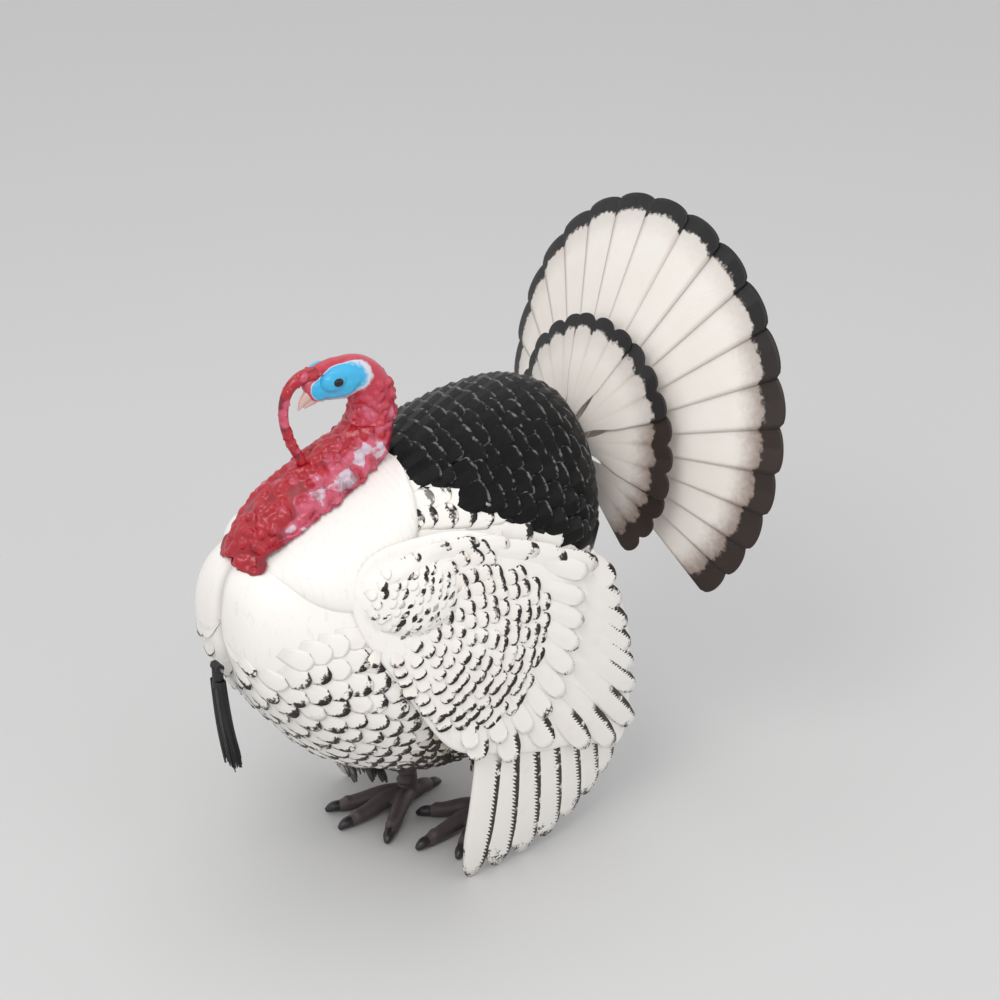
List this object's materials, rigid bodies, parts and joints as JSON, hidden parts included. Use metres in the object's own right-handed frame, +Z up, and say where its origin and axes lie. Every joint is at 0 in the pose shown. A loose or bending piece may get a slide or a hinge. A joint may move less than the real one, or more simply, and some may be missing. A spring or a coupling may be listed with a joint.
{
  "type": "turkey decoy",
  "caption": "Full-strut tom turkey decoy with a hollow body, plug-in turning head, swinging beard and a folding, tilting tail fan.",
  "frame": {"origin": "on the ground under the middle of the bird's length, on its mid plane", "axes": "+Z up, the beak points to -Y, the bird's left side is +X"},
  "size_m": [0.4294, 0.5562, 0.6208],
  "materials": {
    "steel": "satin",
    "tail_feather": "hand-painted cream with a dark tip band",
    "tail_covert": "hand-painted cream with a dark tip band",
    "breast": "satin white with dark feather edges",
    "back": "glossy black with fine grey feather edges",
    "ruff": "satin warm white",
    "wing": "satin white with black feather edges",
    "primaries": "satin white with dark bars",
    "leg": "satin dark brown-grey",
    "wattle": "glossy crimson",
    "face": "glossy pink and red with a pale blue cheek",
    "beak": "satin",
    "eye": "glossy black",
    "beard": "coarse black bristle",
    "fitting": "matt black"
  },
  "bodies": {
    "body": {"body_shell_left": "breast", "body_shell_right": "breast", "shell_screws": "steel", "back_cover": "back", "cover_screws": "steel", "neck_ruff": "ruff", "neck_socket": "fitting", "wing_left": "wing", "wing_right": "wing", "wing_screws": "steel", "primaries_left": "primaries", "primaries_right": "primaries", "primary_rivets": "steel", "leg_left": "leg", "leg_right": "leg", "leg_screws": "steel", "stake_socket": "fitting", "tail_bracket": "fitting", "bracket_screws": "steel", "tail_hinge_pin": "steel", "beard_pin": "steel"},
    "neck": {"neck": "wattle", "swivel_post": "steel"},
    "head": {"head": "face", "beak": "beak", "snood": "wattle", "eyes": "eye"},
    "beard": {"beard": "beard", "beard_ferrule": "fitting"},
    "fan": {"tail_hub": "fitting", "hub_screw": "steel", "tail_feather_centre": "tail_feather", "tail_covert_centre": "tail_covert", "tail_feather_left_1": "tail_feather", "tail_feather_right_1": "tail_feather"},
    "feather_left_10": {"tail_feather_left_10": "tail_feather"},
    "feather_left_2": {"tail_feather_left_2": "tail_feather"},
    "feather_right_2": {"tail_feather_right_2": "tail_feather"},
    "feather_left_3": {"tail_feather_left_3": "tail_feather"},
    "feather_right_3": {"tail_feather_right_3": "tail_feather"},
    "feather_left_4": {"tail_feather_left_4": "tail_feather"},
    "feather_right_4": {"tail_feather_right_4": "tail_feather"},
    "feather_left_5": {"tail_feather_left_5": "tail_feather"},
    "feather_right_5": {"tail_feather_right_5": "tail_feather"},
    "feather_left_6": {"tail_feather_left_6": "tail_feather"},
    "feather_right_6": {"tail_feather_right_6": "tail_feather"},
    "feather_left_7": {"tail_feather_left_7": "tail_feather"},
    "feather_right_7": {"tail_feather_right_7": "tail_feather"},
    "feather_left_8": {"tail_feather_left_8": "tail_feather"},
    "feather_right_8": {"tail_feather_right_8": "tail_feather"},
    "feather_left_9": {"tail_feather_left_9": "tail_feather"},
    "feather_right_9": {"tail_feather_right_9": "tail_feather"},
    "feather_right_10": {"tail_feather_right_10": "tail_feather"},
    "covert_left_1": {"tail_covert_left_1": "tail_covert"},
    "covert_right_1": {"tail_covert_right_1": "tail_covert"},
    "covert_left_2": {"tail_covert_left_2": "tail_covert"},
    "covert_right_2": {"tail_covert_right_2": "tail_covert"},
    "covert_left_3": {"tail_covert_left_3": "tail_covert"},
    "covert_right_3": {"tail_covert_right_3": "tail_covert"}
  },
  "joints": [
    {"name": "neck_lift", "type": "slide", "parent": "body", "child": "neck", "axis": [0, -0.4226, 0.9063], "range_m": [0, 0.12]},
    {"name": "head_turn", "type": "hinge", "parent": "neck", "child": "head", "pos_m": [0, -0.0931, 0.482], "axis": [0, 0, 1], "range_deg": [-35, 35]},
    {"name": "beard_swing", "type": "hinge", "parent": "body", "child": "beard", "pos_m": [0, -0.2721, 0.268], "axis": [1, 0, 0], "range_deg": [-40, 3]},
    {"name": "fan_tilt", "type": "hinge", "parent": "body", "child": "fan", "pos_m": [0, 0.1339, 0.392], "axis": [1, 0, 0], "range_deg": [-20, 5]},
    {"name": "fan_fold", "type": "hinge", "parent": "fan", "child": "feather_left_10", "pos_m": [0, 0.1339, 0.392], "axis": [0, -0.9848, 0.1736], "range_deg": [0, 110.7]},
    {"name": "feather_left_2_fold", "type": "hinge", "parent": "fan", "child": "feather_left_2", "pos_m": [0, 0.1339, 0.392], "axis": [0, -0.9848, 0.1736], "range_deg": [0, 12.35]},
    {"name": "feather_right_2_fold", "type": "hinge", "parent": "fan", "child": "feather_right_2", "pos_m": [0, 0.1339, 0.392], "axis": [0, 0.9848, -0.1736], "range_deg": [0, 12.35]},
    {"name": "feather_left_3_fold", "type": "hinge", "parent": "fan", "child": "feather_left_3", "pos_m": [0, 0.1339, 0.392], "axis": [0, -0.9848, 0.1736], "range_deg": [0, 24.65]},
    {"name": "feather_right_3_fold", "type": "hinge", "parent": "fan", "child": "feather_right_3", "pos_m": [0, 0.1339, 0.392], "axis": [0, 0.9848, -0.1736], "range_deg": [0, 24.65]},
    {"name": "feather_left_4_fold", "type": "hinge", "parent": "fan", "child": "feather_left_4", "pos_m": [0, 0.1339, 0.392], "axis": [0, -0.9848, 0.1736], "range_deg": [0, 36.95]},
    {"name": "feather_right_4_fold", "type": "hinge", "parent": "fan", "child": "feather_right_4", "pos_m": [0, 0.1339, 0.392], "axis": [0, 0.9848, -0.1736], "range_deg": [0, 36.95]},
    {"name": "feather_left_5_fold", "type": "hinge", "parent": "fan", "child": "feather_left_5", "pos_m": [0, 0.1339, 0.392], "axis": [0, -0.9848, 0.1736], "range_deg": [0, 49.25]},
    {"name": "feather_right_5_fold", "type": "hinge", "parent": "fan", "child": "feather_right_5", "pos_m": [0, 0.1339, 0.392], "axis": [0, 0.9848, -0.1736], "range_deg": [0, 49.25]},
    {"name": "feather_left_6_fold", "type": "hinge", "parent": "fan", "child": "feather_left_6", "pos_m": [0, 0.1339, 0.392], "axis": [0, -0.9848, 0.1736], "range_deg": [0, 61.55]},
    {"name": "feather_right_6_fold", "type": "hinge", "parent": "fan", "child": "feather_right_6", "pos_m": [0, 0.1339, 0.392], "axis": [0, 0.9848, -0.1736], "range_deg": [0, 61.55]},
    {"name": "feather_left_7_fold", "type": "hinge", "parent": "fan", "child": "feather_left_7", "pos_m": [0, 0.1339, 0.392], "axis": [0, -0.9848, 0.1736], "range_deg": [0, 73.85]},
    {"name": "feather_right_7_fold", "type": "hinge", "parent": "fan", "child": "feather_right_7", "pos_m": [0, 0.1339, 0.392], "axis": [0, 0.9848, -0.1736], "range_deg": [0, 73.85]},
    {"name": "feather_left_8_fold", "type": "hinge", "parent": "fan", "child": "feather_left_8", "pos_m": [0, 0.1339, 0.392], "axis": [0, -0.9848, 0.1736], "range_deg": [0, 86.15]},
    {"name": "feather_right_8_fold", "type": "hinge", "parent": "fan", "child": "feather_right_8", "pos_m": [0, 0.1339, 0.392], "axis": [0, 0.9848, -0.1736], "range_deg": [0, 86.15]},
    {"name": "feather_left_9_fold", "type": "hinge", "parent": "fan", "child": "feather_left_9", "pos_m": [0, 0.1339, 0.392], "axis": [0, -0.9848, 0.1736], "range_deg": [0, 98.45]},
    {"name": "feather_right_9_fold", "type": "hinge", "parent": "fan", "child": "feather_right_9", "pos_m": [0, 0.1339, 0.392], "axis": [0, 0.9848, -0.1736], "range_deg": [0, 98.45]},
    {"name": "feather_right_10_fold", "type": "hinge", "parent": "fan", "child": "feather_right_10", "pos_m": [0, 0.1339, 0.392], "axis": [0, 0.9848, -0.1736], "range_deg": [0, 110.75]},
    {"name": "covert_left_1_fold", "type": "hinge", "parent": "fan", "child": "covert_left_1", "pos_m": [0, 0.1339, 0.392], "axis": [0, -0.9848, 0.1736], "range_deg": [0, 40.05]},
    {"name": "covert_right_1_fold", "type": "hinge", "parent": "fan", "child": "covert_right_1", "pos_m": [0, 0.1339, 0.392], "axis": [0, 0.9848, -0.1736], "range_deg": [0, 40.05]},
    {"name": "covert_left_2_fold", "type": "hinge", "parent": "fan", "child": "covert_left_2", "pos_m": [0, 0.1339, 0.392], "axis": [0, -0.9848, 0.1736], "range_deg": [0, 80.05]},
    {"name": "covert_right_2_fold", "type": "hinge", "parent": "fan", "child": "covert_right_2", "pos_m": [0, 0.1339, 0.392], "axis": [0, 0.9848, -0.1736], "range_deg": [0, 80.05]},
    {"name": "covert_left_3_fold", "type": "hinge", "parent": "fan", "child": "covert_left_3", "pos_m": [0, 0.1339, 0.392], "axis": [0, -0.9848, 0.1736], "range_deg": [0, 120.05]},
    {"name": "covert_right_3_fold", "type": "hinge", "parent": "fan", "child": "covert_right_3", "pos_m": [0, 0.1339, 0.392], "axis": [0, 0.9848, -0.1736], "range_deg": [0, 120.05]}
  ],
  "couplings": [
    {"joint": "feather_left_2_fold", "follows": "fan_fold", "ratio": 0.11111},
    {"joint": "feather_right_2_fold", "follows": "fan_fold", "ratio": 0.11111},
    {"joint": "feather_left_3_fold", "follows": "fan_fold", "ratio": 0.22222},
    {"joint": "feather_right_3_fold", "follows": "fan_fold", "ratio": 0.22222},
    {"joint": "feather_left_4_fold", "follows": "fan_fold", "ratio": 0.33333},
    {"joint": "feather_right_4_fold", "follows": "fan_fold", "ratio": 0.33333},
    {"joint": "feather_left_5_fold", "follows": "fan_fold", "ratio": 0.44444},
    {"joint": "feather_right_5_fold", "follows": "fan_fold", "ratio": 0.44444},
    {"joint": "feather_left_6_fold", "follows": "fan_fold", "ratio": 0.55556},
    {"joint": "feather_right_6_fold", "follows": "fan_fold", "ratio": 0.55556},
    {"joint": "feather_left_7_fold", "follows": "fan_fold", "ratio": 0.66667},
    {"joint": "feather_right_7_fold", "follows": "fan_fold", "ratio": 0.66667},
    {"joint": "feather_left_8_fold", "follows": "fan_fold", "ratio": 0.77778},
    {"joint": "feather_right_8_fold", "follows": "fan_fold", "ratio": 0.77778},
    {"joint": "feather_left_9_fold", "follows": "fan_fold", "ratio": 0.88889},
    {"joint": "feather_right_9_fold", "follows": "fan_fold", "ratio": 0.88889},
    {"joint": "feather_right_10_fold", "follows": "fan_fold", "ratio": 1},
    {"joint": "covert_left_1_fold", "follows": "fan_fold", "ratio": 0.36134},
    {"joint": "covert_right_1_fold", "follows": "fan_fold", "ratio": 0.36134},
    {"joint": "covert_left_2_fold", "follows": "fan_fold", "ratio": 0.72267},
    {"joint": "covert_right_2_fold", "follows": "fan_fold", "ratio": 0.72267},
    {"joint": "covert_left_3_fold", "follows": "fan_fold", "ratio": 1.084},
    {"joint": "covert_right_3_fold", "follows": "fan_fold", "ratio": 1.084}
  ]
}
